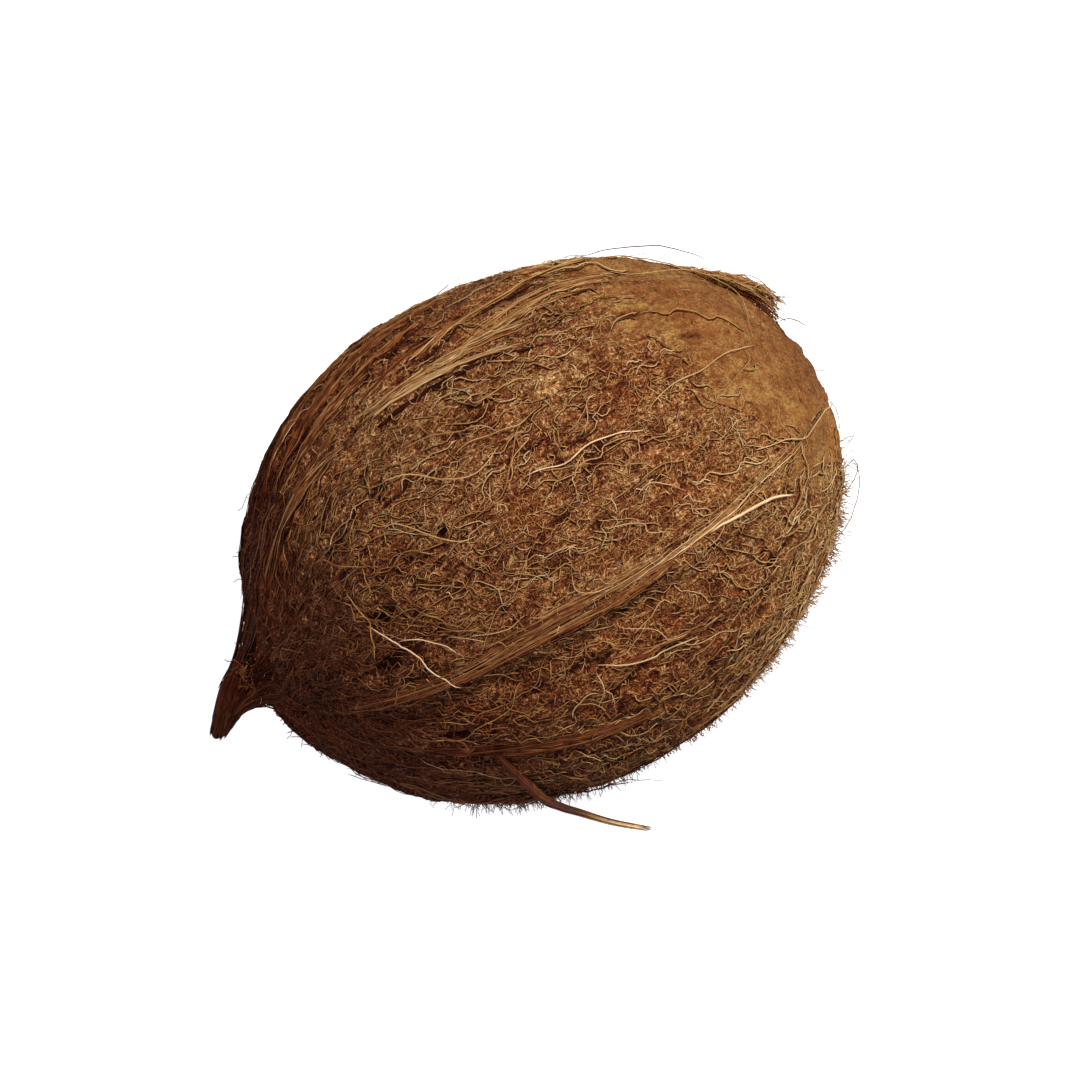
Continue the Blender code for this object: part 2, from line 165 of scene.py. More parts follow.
def husk_at(along, turn):
    """(rise, painted shade) read between the places where the relief is known, for arrays of degrees."""
    row = np.clip((along + 90.0) / 180.0 * NUT_RINGS, 0.0, NUT_RINGS - 1e-6)
    column = (turn % 360.0) / 360.0 * NUT_COLUMNS
    low, left = row.astype(int), column.astype(int) % NUT_COLUMNS
    right = (left + 1) % NUT_COLUMNS
    up, over = (row - low)[..., None], (column - np.floor(column))[..., None]
    near = relief[low, left] * (1 - over) + relief[low, right] * over
    far = relief[low + 1, left] * (1 - over) + relief[low + 1, right] * over
    return near * (1 - up) + far * up


def on_nut(along, turn, lift=0.0):
    """Places in the frame at degrees along and round the nut, lifted over the fibre, for arrays."""
    points, normals = shell(along, turn)
    height = husk_at(along, turn)[..., 0] + lift
    return laid_down(points + normals * height[..., None])


def velvet(along, turn):
    """0 to 1, how far the fibre is worn to a short nap, as over the blunt end and the upper side near it."""
    aside = np.abs((turn + 195.0) % 360.0 - 180.0)
    edge = 23.0 + 17.0 * smooth(0.0, 75.0, aside) + 18.0 * smooth(62.0, 95.0, aside)
    edge = edge + 2.0 * np.sin(0.21 * turn) + 2.0 * np.sin(0.47 * turn + 1.0)
    return smooth(edge - 6.0, edge + 8.0, along)


def region_tone_and_shade(along, turn):
    """How pale the fibre is: dark and red at the pointed end, paler where the blunt end is worn, darker above
    the front band.
    Painted shade darkens it on the sides and underneath, on the far upper side, below the front band and
    towards the blunt end's outline.
    """
    pointed = smooth(-12.0, -66.0, along)
    # painted shade: darker on the sides and underneath, away from the top
    below = smooth(0.5, -0.5, np.cos(np.radians(turn - 8.0)))
    # painted shade: darker on the front below the band
    past_band = smooth(0.72, 0.55, np.cos(np.radians(turn))) * smooth(20.0, 60.0, turn % 360.0)
    past_band = past_band * smooth(175.0, 120.0, turn % 360.0) * smooth(30.0, 5.0, along)
    blunt_front = smooth(10.0, 35.0, along) * smooth(0.85, 0.55, np.cos(np.radians(turn)))
    blunt_front = blunt_front * smooth(0.0, 40.0, turn % 360.0)
    # painted shade: darker on the far upper side
    far_side = smooth(-20.0, -60.0, turn) * smooth(20.0, -10.0, along)
    over_band = smooth(14.0, 30.0, turn) * smooth(60.0, 46.0, turn) * smooth(0.0, -22.0, along)
    pale = 0.52 + 0.05 * blunt_front - 0.04 * velvet(along, turn) - 0.10 * far_side - 0.06 * over_band
    # painted shade: darker towards the blunt end's outline
    blunt_end = smooth(52.0, 76.0, along)
    return pale - 0.13 * pointed - 0.07 * below - 0.08 * past_band - 0.06 * blunt_end


def add_values(mesh, name, values):
    """Keeps a number or a vector with each vertex of a mesh, for its finish to read."""
    kind, field = ("FLOAT", "value") if np.ndim(values) == 1 else ("FLOAT_VECTOR", "vector")
    attribute = mesh.attributes.new(name, kind, "POINT")
    attribute.data.foreach_set(field, np.ascontiguousarray(values, np.float32).ravel())


def named(name):
    """The piece that the last operator made, given its name."""
    piece = bpy.context.object
    piece.name = piece.data.name = name
    return piece


def vertex_places(mesh):
    places = np.empty(len(mesh.vertices) * 3)
    mesh.vertices.foreach_get("co", places)
    return places.reshape(-1, 3)


def round_piece(name, columns, rings):
    """A ball to be shaped into a piece, and its vertices' places."""
    bpy.ops.mesh.primitive_uv_sphere_add(segments=columns, ring_count=rings, radius=1.0)
    piece = named(name)
    return piece, vertex_places(piece.data)


nut, ball = round_piece("nut", NUT_COLUMNS, NUT_RINGS)
nut_along = np.degrees(np.arcsin(np.clip(ball[:, 2], -1.0, 1.0)))
nut_turn = np.degrees(np.arctan2(ball[:, 1], ball[:, 0]))
nut_points = on_nut(nut_along, nut_turn)
nut_points[:, 2] = np.maximum(nut_points[:, 2], 0.0)
nut.data.vertices.foreach_set("co", nut_points.ravel())
# The place on the nut in metres, across and lengthwise, for patterns that follow the fibre.
nut_angle = np.radians(nut_turn)
follow = np.stack([np.cos(nut_angle), np.sin(nut_angle), np.radians(nut_along) * 1.2], -1) * RADIUS
follow[:, :2] *= np.clip(np.cos(np.radians(nut_along)), 0.12, 1.0)[:, None]
add_values(nut.data, "follow", follow)
# how far painted shade darkens each place of the husk
add_values(nut.data, "hollow", husk_at(nut_along, nut_turn)[:, 1])
add_values(nut.data, "tone", region_tone_and_shade(nut_along, nut_turn))
add_values(nut.data, "nap", velvet(nut_along, nut_turn))
bpy.ops.object.shade_smooth()


class Socket:
    """An output of a material's nodes. A sum, difference or product of sockets adds its Math nodes."""

    def __init__(self, tree, socket=None):
        self.tree, self.socket = tree, socket

    def node(self, kind, settings=(), output=0, **inputs):
        """Adds a node: its settings first, then the values or links of its sockets."""
        made = self.tree.nodes.new(kind)
        for name, value in dict(settings).items():
            if name == "stops":
                stops = made.color_ramp.elements
                while len(stops) < len(value):
                    stops.new(1.0)
                for stop, (place, colour) in zip(stops, value):
                    stop.position, stop.color = place, (*colour, 1.0)
            else:
                setattr(made, name, value)
        for name, value in inputs.items():
            key = int(name[1:]) if name[1:].isdigit() else name.replace("_", " ")
            if isinstance(value, Socket):
                self.tree.links.new(value.socket, made.inputs[key])
            else:
                made.inputs[key].default_value = value
        return Socket(self.tree, made.outputs[output])

    def math(self, operation, *values):
        inputs = {f"i{number}": value for number, value in enumerate(values)}
        return self.node("ShaderNodeMath", {"operation": operation}, **inputs)

    def __add__(self, other):
        return self.math("ADD", self, other)

    def __mul__(self, other):
        return self.math("MULTIPLY", self, other)

    def __sub__(self, other):
        return self.math("SUBTRACT", self, other)

    def __rsub__(self, other):
        return self.math("SUBTRACT", other, self)

    __radd__, __rmul__ = __add__, __mul__

    def feed(self, given):
        self.tree.links.new(self.socket, given)

    def kept(self, name, output="Fac"):
        """A value that the mesh keeps with each vertex."""
        return self.node("ShaderNodeAttribute", {"attribute_name": name}, output=output)

    def cloud(self, scale, detail=2.0, warp=0.0):
        """A noise over this place."""
        return self.node("ShaderNodeTexNoise", Vector=self, Scale=scale, Detail=detail, Distortion=warp)

    def scaled(self, shares):
        return self.node("ShaderNodeVectorMath", {"operation": "MULTIPLY"}, i0=self, i1=shares)

    def tinted(self, share, tint):
        """This colour times a tint, as far as the share says."""
        mix = {"data_type": "RGBA", "blend_type": "MULTIPLY"}
        return self.node("ShaderNodeMix", mix, output=2, i0=share, i6=self, i7=(*tint, 1.0))

    def between(self, low, high):
        """0 where this is under low, 1 over high, and smooth between."""
        span = {"interpolation_type": "SMOOTHSTEP"}
        return self.node("ShaderNodeMapRange", span, Value=self, From_Min=low, From_Max=high)


def new_finish(name, roughness, shine=0.5):
    """A material, its Principled BSDF's inputs, and a socket to start sums from."""
    material = bpy.data.materials.new(name)
    material.use_nodes = True
    inputs = material.node_tree.nodes["Principled BSDF"].inputs
    inputs["Roughness"].default_value = roughness
    inputs["Specular IOR Level"].default_value = shine
    return material, inputs, Socket(material.node_tree)


def coir_colour(tone):
    """Coir's colours from the near black that painted shade reaches in its cracks to pale straw."""
    stops = (
        (0.0, (0.0100, 0.0020, 0.0006)),
        (0.20, (0.0480, 0.0105, 0.0030)),
        (0.42, (0.1640, 0.0490, 0.0142)),
        (0.60, (0.3050, 0.1580, 0.0500)),
        (0.80, (0.4800, 0.3080, 0.1450)),
        (1.0, (0.7000, 0.5000, 0.2800)),
    )
    return tone.node("ShaderNodeValToRGB", {"stops": stops}, Fac=tone)


def rusted(colour, place, tone):
    """The colour turned rusty in patches, most where the fibre is dark."""
    patch = place.cloud(55.0).between(0.50, 0.68)
    return colour.tinted(patch * (1.1 - tone * 1.5), (1.13, 0.82, 0.68))


husk_finish, husk_inputs, start = new_finish("husk", 0.9, 0.06)
follow_place = start.kept("follow", "Vector")
object_place = start.node("ShaderNodeTexCoord", output="Object")
hollow = start.kept("hollow")
tone = start.kept("tone")


def threads(place, scale, width, warp):
    """Snaking lines where a noise passes its middle value: 1 on each, and -1 beside it, a groove and painted
    shadow along the line.
    """
    off_line = start.math("ABSOLUTE", place.cloud(scale, 1.0, warp) - 0.5)
    return 1.0 - off_line.between(0.0, width) * 2.0 + off_line.between(width, width * 2.6)


nap = start.kept("nap")
stretched = follow_place.scaled((1.0, 1.0, 0.25))
long_threads = threads(stretched, 620.0, 0.075, 0.6)
curled_threads = threads(object_place, 430.0, 0.080, 1.8)
fine_threads = threads(object_place, 900.0, 0.090, 1.2)
granules = object_place.cloud(1700.0, 3.0)
# pits in the rough mat, sunk by the bump and darkened with painted shade
pits = stretched.cloud(420.0, 2.0, 0.8).between(0.60, 0.74)
grain = stretched.cloud(3300.0, 2.0)
specks = object_place.cloud(950.0, 1.0).between(0.57, 0.72)
patches = object_place.cloud(85.0, 3.0)
# pale threads over the husk, each with painted shadow beside it
threads_and_shadows = curled_threads * 0.42 + long_threads * 0.34 + fine_threads * 0.38
rough_share = 1.0 - nap * 0.85
pale = tone + (patches - 0.5) * 0.30 + (granules - 0.5) * (rough_share * 0.48 + 0.08)
pale = pale + threads_and_shadows * rough_share * 0.30 - pits * rough_share * 0.22
pale = pale + (grain - 0.5) * nap * 0.29 - specks * nap * 0.09
# painted shade in the cracks and hollows
pale = pale - hollow.between(0.25, 0.95) * 0.30
colour = rusted(coir_colour(pale), object_place, tone).tinted(nap, (0.95, 1.15, 1.06))
height = threads_and_shadows * rough_share * 0.55 + granules * 0.35 - pits * rough_share * 0.6 - specks * nap * 0.3
bump = start.node("ShaderNodeBump", Height=height, Distance=0.00035, Strength=1.0)
colour.feed(husk_inputs["Base Color"])
bump.feed(husk_inputs["Normal"])
nut.data.materials.append(husk_finish)
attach(nut, "root")
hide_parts("coconut")


# Loose strands
# The thousands of wiry coir strands that stand out of the mat. Each is a thin tube, drawn to a point at both
# ends: short curls matted all over, longer strands that snake along the nut, and long hairs that lie on it.
ROOM = 0.020  # the share of the nut's size by which a strand may stand out of the nut's own box
FLOOR_GAP = 0.0003
ROOT_DEPTH = 0.0003


def strand_finish():
    material, inputs, start = new_finish("coir_strand", 0.65, 0.05)
    tone = start.kept("tone")
    place = start.node("ShaderNodeTexCoord", output="Object")
    colour = rusted(coir_colour(tone + (place.cloud(420.0) - 0.5) * 0.25), place, tone)
    colour.feed(inputs["Base Color"])
    return material


def added(name, data):
    made = bpy.data.objects.new(name, data)
    bpy.context.scene.collection.objects.link(made)
    return made


coir_strand = strand_finish()
three_sided = bpy.data.curves.new("three_sided", "CURVE")
three_sided.dimensions = "2D"
three_sided.splines.new("POLY").points.add(2)
three_sided.splines[0].use_cyclic_u = True
for corner, point in enumerate(three_sided.splines[0].points):
    point.co = (math.cos(corner * math.tau / 3), -math.sin(corner * math.tau / 3), 0.0, 1.0)
strand_outline = added("strand_outline", three_sided)


def strands(name, points, radii, tones):
    """One piece of many strands: rows of points, with the radius and the tone at each point.

    A strand that would leave the room round the nut, or touch the floor, is left out.
    """
    points, radii = np.array(points), np.array(radii)
    low, high = (np.array(corner) for corner in cad_box)
    room = ROOM * (high - low)
    inside = ((points > low - room) & (points < high + room)).all(axis=(1, 2))
    inside &= points[..., 2].min(axis=1) > FLOOR_GAP
    tones = np.broadcast_to(tones, radii.shape)[inside]
    points, radii = points[inside], radii[inside]
    line = bpy.data.curves.new(name, "CURVE")
    line.dimensions = "3D"
    line.bevel_mode = "OBJECT"
    line.bevel_object = strand_outline
    for row, radius in zip(points, radii):
        spline = line.splines.new("POLY")
        spline.points.add(len(row) - 1)
        spline.points.foreach_set("co", np.column_stack([row, np.ones(len(row))]).ravel())
        spline.points.foreach_set("radius", radius)
    piece = added(name, line)
    bpy.ops.object.select_all(action="DESELECT")
    bpy.context.view_layer.objects.active = piece
    piece.select_set(True)
    bpy.ops.object.convert(target="MESH")
    add_values(piece.data, "tone", np.repeat(tones.ravel(), 3))
    bpy.ops.object.mode_set(mode="EDIT")
    bpy.ops.mesh.select_all(action="SELECT")
    bpy.ops.mesh.remove_doubles(threshold=1e-6)
    bpy.ops.object.mode_set(mode="OBJECT")
    bpy.ops.object.shade_smooth()
    piece.data.materials.append(coir_strand)
    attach(piece, "root")
    return piece


def runs(steps):
    """Shares of the way along a strand, with short first and last stretches for its pointed ends."""
    return np.concatenate([[0.0], np.linspace(0.08, 0.92, steps - 2), [1.0]])


def lie(along, turn):
    """Radians that the fibre strays from straight along the nut at a place."""
    broad = 0.26 * np.sin(0.085 * along + 0.05 * turn + 0.8)
    return -0.16 + broad + 0.22 * np.sin(0.11 * turn - 0.07 * along)


def snaking(along, turn, heading, length, run, curl, waves, draw):
    """(along, turn) at the points of strands that start at places on the nut and snake over it as they go."""
    count = len(along)
    phase = draw.uniform(0.0, math.tau, (2, count))
    pace = draw.uniform(*waves, count) * math.tau
    places = [(along, turn)]
    for before, after in zip(run[:-1], run[1:]):
        sway = 0.75 * np.sin(pace * after + phase[0]) + 0.40 * np.sin(1.9 * pace * after + phase[1])
        angle = heading + lie(along, turn) + curl * sway
        point, normal = shell(along, turn)
        lengthwise = unit(np.array([1.0, 0.0, 0.0]) - normal * normal[:, :1])
        crosswise = np.cross(normal, lengthwise)
        way = np.cos(angle)[:, None] * lengthwise + np.sin(angle)[:, None] * crosswise
        point = point + way * ((after - before) * length)[:, None]
        half = np.where(point[:, 0] > 0, BLUNT_HALF, POINTED_HALF)
        along = np.degrees(np.arcsin(np.clip(point[:, 0] / half, -0.999, 0.999)))
        turn = np.degrees(np.arctan2(-point[:, 1], point[:, 2]))
        places.append((along, turn))
    return np.array(places).transpose(1, 2, 0)


def scattered(count, density, draw):
    """(along, turn) spread over the whole nut, kept in proportion to a density from 0 to 1."""
    along = np.degrees(np.arcsin(draw.uniform(-0.995, 0.995, 12 * count)))
    turn = draw.uniform(-180.0, 180.0, 12 * count)
    kept = draw.random(12 * count) < density(along, turn)
    return along[kept][:count], turn[kept][:count]


def drawn_radii(radius, run):
    """Each strand's radius at its points: full between its ends and nothing at them."""
    ends = np.where((run == 0.0) | (run == 1.0), 0.0, 1.0)
    return radius[:, None] * ends[None, :]


def degrees_across(along):
    """How many degrees round the nut one metre across it is."""
    return np.degrees(1.0) / (RADIUS * np.cos(np.radians(np.clip(along, -86.0, 86.0))))


def lay_strands(
    name, count, steps, length, radius, heading, curl, waves, arch, loose, tone, density, seed, painted_shadow=False,
):
    """Scatters strands that lie on the mat. Some, by the share that is loose, lift their far end off it.

    With the last argument set, a dark strand lies low beside each as painted shadow.
    """
    draw = np.random.default_rng(seed)
    run = runs(steps)
    along, turn = scattered(count, density, draw)
    count = len(along)
    length = draw.uniform(*length, count)
    radius = draw.uniform(*radius, count)
    way = draw.normal(0.0, heading, count) + math.pi * draw.integers(0, 2, count)
    places = snaking(along, turn, way, length, run, curl * draw.uniform(0.5, 1.4, count), waves, draw)
    arched = draw.uniform(*arch, count)[:, None] * np.sin(math.pi * run)[None, :]
    lifted = (draw.random(count) < loose)[:, None] * draw.uniform(0.08, 0.30, count)[:, None]
    lifted = lifted * np.minimum(length, 0.010)[:, None] * (run**2)[None, :]
    lift = 0.3 * radius[:, None] + arched + lifted
    lift[:, 0] -= ROOT_DEPTH
    likeness = 1.0 - 0.5 * smooth(-15.0, -50.0, along)
    tones = region_tone_and_shade(along, turn) + draw.normal(tone, 0.09, count) * likeness
    # painted shade at the roots: each strand darker towards its root
    tones = tones[:, None] + 0.05 * run[None, :]
    strands(name, on_nut(places[0], places[1], lift), drawn_radii(radius, run), tones)
    if painted_shadow:
        # painted shadow: a dark strand laid low beside each strand
        beside = places[1] + 1.5 * radius[:, None] * degrees_across(places[0])
        low = np.minimum(lift, 0.0001) - 0.3 * radius[:, None]
        dark = np.broadcast_to(draw.uniform(0.02, 0.20, (count, 1)), low.shape)
        strands(name + "_bed", on_nut(places[0], beside, low), drawn_radii(radius * 1.2, run), dark)


def stand_strands(name, count, steps, length, radius, lean, tone, density, seed):
    """Scatters short strands that stand out of the mat, leaning from its normal by up to some radians."""
    draw = np.random.default_rng(seed)
    run = runs(steps)
    along, turn = scattered(count, density, draw)
    count = len(along)
    _, normal = shell(along, turn)
    root = on_nut(along, turn, np.full(count, -0.0002))
    out = laid_down(normal) - laid_down(np.zeros(3))
    side = unit(np.cross(out, draw.normal(0.0, 1.0, (count, 3))))
    over = np.cross(out, side)
    leaning = draw.uniform(*lean, count)[:, None] + draw.uniform(-0.7, 1.1, count)[:, None] * run[None, :]
    sway = draw.uniform(-0.5, 0.5, (count, 1)) * np.sin(5.0 * run)[None, :]
    way = out[:, None, :] * np.cos(leaning)[..., None] + side[:, None, :] * np.sin(leaning)[..., None]
    way = way + over[:, None, :] * sway[..., None]
    stretch = draw.uniform(*length, (count, 1)) * np.diff(run, prepend=0.0)[None, :]
    points = root[:, None, :] + np.cumsum(way * stretch[..., None], axis=1)
    # painted shade at the roots: each strand darker towards its root
    tones = (region_tone_and_shade(along, turn) + draw.normal(tone, 0.08, count))[:, None] + 0.04 * run[None, :]
    return strands(name, points, drawn_radii(draw.uniform(*radius, count), run), tones)


def mat_density(along, turn):
    """Where the fibre is a curled mat: thin on the worn blunt end, the combed pointed end and the tapes."""
    among_tapes = smooth(-12.0, -19.0, turn) * smooth(-100.0, -80.0, turn) * smooth(26.0, 10.0, along)
    curled = (1.0 - 0.98 * velvet(along, turn)) * (1.0 - 0.85 * smooth(-36.0, -58.0, along))
    return curled * (1.0 - 0.72 * among_tapes)


def tangle_density(along, turn):
    """Tangled strands are thickest round the lower half of the nut."""
    return mat_density(along, turn) * (0.50 + 0.50 * smooth(0.5, -0.3, np.cos(np.radians(turn))))


def combed_density(along, turn):
    return smooth(-34.0, -56.0, along)


def wavy_density(along, turn):
    """Wavy strands show best where the mat is thin, towards the pointed end."""
    return smooth(-14.0, -34.0, along) * smooth(-76.0, -64.0, along)


def fuzz_density(along, turn):
    """Loose fuzz stands thickest at the front and underneath, and on the blunt side of them."""
    front = smooth(0.5, -0.1, np.cos(np.radians(turn))) * smooth(-50.0, 0.0, along)
    return (0.25 + 0.75 * front) * (1.0 - 0.6 * velvet(along, turn)) * smooth(78.0, 66.0, along)


def shaggy_density(along, turn):
    """The shaggiest fibre is in a belt below the front."""
    from_belt = np.abs(turn - 119.0 + 0.31 * along)
    return smooth(15.0, 6.0, from_belt) * smooth(-48.0, -30.0, along) * smooth(66.0, 56.0, along)


def flap_edge_density(along, turn):
    """Short hairs stand in a row where the flap tore loose."""
    from_edge = np.abs(turn + 49.0 - 0.85 * (along - 42.0))
    return smooth(9.0, 5.0, from_edge) * smooth(47.0, 60.0, along) * smooth(74.0, 68.0, along)


def wild_density(along, turn):
    """A few long hairs stand wildly at the front of the blunt end."""
    return (np.abs(along - 54.0) < 12.0) * (np.abs(turn - 92.0) < 15.0) * 1.0


lay_strands(
    "tiny_curls", 2500, 5, (0.0010, 0.0026), (0.00006, 0.00010), 1.3, 1.3, (0.4, 0.9),
    (0.0000, 0.0003), 0.15, 0.06, mat_density, 1,
)
lay_strands(
    "short_curls", 5200, 6, (0.0018, 0.0048), (0.00007, 0.00012), 0.8, 1.5, (0.5, 1.2),
    (0.0001, 0.0005), 0.12, 0.07, mat_density, 2,
)
lay_strands(
    "wiry_strands", 2500, 10, (0.0040, 0.0120), (0.00007, 0.00013), 0.42, 0.95, (0.6, 1.8),
    (0.0001, 0.0006), 0.10, 0.10, tangle_density, 3, painted_shadow=True,
)
lay_strands(
    "long_hairs", 190, 20, (0.012, 0.032), (0.00009, 0.00015), 0.30, 0.55, (1.0, 2.8),
    (0.0002, 0.0008), 0.10, 0.14, tangle_density, 4, painted_shadow=True,
)
lay_strands(
    "combed_fibres", 1300, 8, (0.0050, 0.0150), (0.00004, 0.00009), 0.16, 0.30, (0.5, 1.4),
    (0.0000, 0.0003), 0.05, -0.07, combed_density, 5,
)
lay_strands(
    "wavy_strands", 620, 10, (0.0050, 0.0130), (0.00006, 0.00011), 0.22, 0.60, (0.8, 2.0),
    (0.0001, 0.0005), 0.0, 0.09, wavy_density, 10, painted_shadow=True,
)
lay_strands(
    "worn_nap", 2800, 4, (0.0006, 0.0015), (0.00005, 0.00008), 1.5, 0.8, (0.3, 0.7),
    (0.0000, 0.0002), 0.0, 0.00, velvet, 6,
)
stand_strands(
    "standing_fuzz", 3600, 5, (0.0010, 0.0032), (0.00005, 0.00008), (0.2, 1.2), 0.02, fuzz_density, 7,
)
stand_strands(
    "shaggy_belt", 4800, 5, (0.0012, 0.0036), (0.00005, 0.00008), (0.0, 1.1), -0.06, shaggy_density, 8,
)
stand_strands(
    "flap_fringe", 5200, 6, (0.0012, 0.0034), (0.00005, 0.00009), (0.5, 1.3), 0.02, flap_edge_density, 11,
)
stand_strands(
    "wild_hairs", 700, 9, (0.0025, 0.0058), (0.00005, 0.00007), (0.1, 1.2), -0.10, wild_density, 9,
)


# Husk straps
# Strips of the husk's skin left on the fibre: a band along each seam, and tapes on the upper side with narrow
# ones between them. Each is a thin, crowned ribbon, stuck down in the mat, with fibres of its own along it.
STRAP_THICKNESS = 0.0003
STRAP_FLOOR_GAP = 0.0008
NARROW_STRAPS = 38
FIBRES_PER_METRE = 16000  # of a strap's half width


def smooth_line(places, run):
    """Points at shares of a smooth line through a few given ones."""
    places = np.array(places, float)
    row = np.concatenate([[2 * places[0] - places[1]], places, [2 * places[-1] - places[-2]]])
    at = np.asarray(run) * (len(places) - 1)
    index = np.minimum(at.astype(int), len(places) - 2)
    part = (at - index)[:, None]
    before, start, end, after = (row[index + step] for step in range(4))
    bend = (2 * before - 5 * start + 4 * end - after) * part**2
    bend = bend + (3 * start - before - 3 * end + after) * part**3
    return 0.5 * (2 * start + (end - before) * part + bend)


def ribbon(name, half_width, height, edge_lift, tone, places, cells=(36, 7)):
    """A crowned ribbon along places on the nut, with one edge lifted off the mat."""
    bpy.ops.mesh.primitive_grid_add(x_subdivisions=cells[0], y_subdivisions=cells[1], size=2.0)
    piece = named(name)
    flat = vertex_places(piece.data)
    run, across = flat[:, 0] / 2 + 0.5, -flat[:, 1]
    route = smooth_line(places, run)
    ragged = 1.0 + 0.16 * np.sin(23.0 * run + 40.0 * half_width * 1e3) + 0.10 * np.sin(57.0 * run)
    width = half_width * ragged * smooth(0.0, 0.22, run) ** 0.6 * smooth(1.0, 0.80, run) ** 0.6 + 0.0001
    turn = route[:, 1] + across * width * degrees_across(route[:, 0])
    taper = smooth(0.0, 0.12, run) * smooth(1.0, 0.88, run)
    grooves = 0.00013 * np.cos(across * 9.0 + 3.0 * run) + 0.00008 * np.cos(across * 17.0 - 5.0 * run)
    crown = height * (1.0 - across**2) + 0.0001 + edge_lift * smooth(-0.2, 1.0, across)
    lift = (crown + grooves) * taper - ROOT_DEPTH
    points = on_nut(route[:, 0], turn, lift)
    points[:, 2] = np.maximum(points[:, 2], STRAP_FLOOR_GAP)
    piece.data.vertices.foreach_set("co", points.ravel())
    middle_line = on_nut(*smooth_line(places, np.linspace(0, 1, 9)).T)
    length = np.linalg.norm(np.diff(middle_line, axis=0), axis=1).sum()
    follow = np.stack([across * half_width, np.full_like(run, places[0][1] * 0.001), run * length], -1)
    add_values(piece.data, "follow", follow)
    add_values(piece.data, "tone", region_tone_and_shade(route[:, 0], turn) + tone)
    # painted shade along the strap's edges, where it meets the mat
    add_values(piece.data, "hollow", 0.35 + 0.4 * (np.abs(across) > 0.9) * taper)
    solid = piece.modifiers.new("thickness", "SOLIDIFY")
    solid.thickness, solid.offset = STRAP_THICKNESS, -1.0
    bpy.ops.object.modifier_apply(modifier=solid.name)
    bpy.ops.object.shade_smooth()
    return piece


def strap_finish():
    material, inputs, start = new_finish("husk_strap", 0.8, 0.04)
    tone = start.kept("tone")
    hollow = start.kept("hollow")
    drawn = start.kept("follow", "Vector").scaled((1.0, 1.0, 0.09))
    grain = start.node("ShaderNodeTexNoise", Vector=drawn, Scale=4200.0, Detail=4.0, Roughness=0.6)
    broad = drawn.cloud(1300.0)
    lines = broad.between(0.38, 0.47)
    shade = tone + (grain - 0.5) * 1.2 + (broad - 0.5) * 0.3 - (1.0 - lines) * 0.14
    # painted shade at the strap's edges
    shade = shade - hollow.between(0.4, 0.8) * 0.2
    colour = coir_colour(shade)
    height = grain + broad * 0.8 + lines * 0.4
    bump = start.node("ShaderNodeBump", Height=height, Distance=0.00030, Strength=1.0)
    colour.feed(inputs["Base Color"])
    bump.feed(inputs["Normal"])
    return material


# Half width, height and lifted edge in metres, tone, then degrees along and round the nut.
WIDE_STRAPS = (
    # the front seam's band, in four overlapping strips
    (0.0014, 0.0003, 0.0003, -0.05, ((-60, 45.5), (-40, 45), (-22, 43.5), (-8, 43))),
    (0.0011, 0.0003, 0.0002, -0.02, ((-34, 42.6), (-16, 41.8), (-4, 42.2), (6, 42.9))),
    (0.0008, 0.0003, 0.0005, -0.08, ((-30, 45.6), (-12, 45.3), (-2, 45.4), (8, 45.0))),
    (0.0004, 0.0003, 0.0003, -0.02, ((-2, 44.2), (8, 44.1), (17, 43.8), (24, 43.6))),
    # the bands of the other two seams
    (0.0016, 0.0008, 0.0004, -0.06, ((-52, 163), (-8, 160), (30, 162))),
    (0.0012, 0.0008, 0.0004, -0.04, ((-20, 165), (14, 163.5), (48, 165))),
    (0.0017, 0.0008, 0.0004, -0.04, ((-50, -79), (-14, -77), (16, -76))),
    (0.0012, 0.0008, 0.0004, -0.02, ((-8, -74), (22, -74.5), (46, -75))),
    # the tapes on the upper side
    (0.0008, 0.0004, 0.0009, 0.09, ((-24, -23), (-16, -20.6), (-8, -18.7), (-1, -17.2), (7, -13.6))),
    (0.0010, 0.0003, 0.0003, -0.02, ((-24, -26), (-12, -23.0), (0, -21.0), (12, -19))),
    (0.0012, 0.0004, 0.0008, -0.03, ((-38, -39), (-26, -39.6), (-12, -39.8), (-1, -41.2))),
    (0.0008, 0.0004, 0.0008, 0.05,
     ((-10, -28.8), (-1, -29.8), (7, -32.4), (15, -35), (24, -39.5), (36, -46))),
    (0.0012, 0.0003, 0.0003, 0.00, ((-4, -24), (8, -25.2), (20, -27.5), (32, -28))),
    (0.0014, 0.0004, 0.0005, -0.04, ((-48, -50), (-30, -54), (-10, -57), (10, -57))),
    (0.0012, 0.0004, 0.0005, -0.04, ((-46, -44), (-28, -47), (-10, -49), (8, -48))),
    (0.0012, 0.0004, 0.0006, -0.04, ((-60, -26), (-48, -27), (-36, -26), (-26, -23))),
    # the straps low at the front, at the back and below
    (0.0016, 0.0009, 0.0005, -0.08, ((-50, 70), (-28, 74), (-4, 77))),
    (0.0016, 0.0009, 0.0005, -0.08, ((-30, 112), (-2, 108), (26, 112))),
    (0.0017, 0.0009, 0.0005, -0.05, ((-36, -112), (-8, -108), (24, -114))),
    (0.0015, 0.0009, 0.0005, -0.07, ((-10, -142), (14, -138), (40, -142))),
)
draw = np.random.default_rng(21)
narrow_straps = []
for number in range(NARROW_STRAPS):
    middle = draw.uniform(-62.0, 24.0)
    side = draw.uniform(-84.0, -18.0) if number % 4 else draw.uniform(60.0, 250.0)
    reach, slope = draw.uniform(6.0, 15.0), draw.normal(0.0, 2.2)
    halfway = (middle, side + draw.normal(0.0, 0.8))
    route = ((middle - reach, side - slope), halfway, (middle + reach, side + slope))
    half_width, edge_lift = draw.uniform(0.0003, 0.0008), draw.uniform(0.0, 0.0006)
    narrow_straps.append((half_width, 0.0003, edge_lift, draw.normal(-0.04, 0.05), route))
straps = [ribbon(f"strap_{number}", *values) for number, values in enumerate(WIDE_STRAPS)]
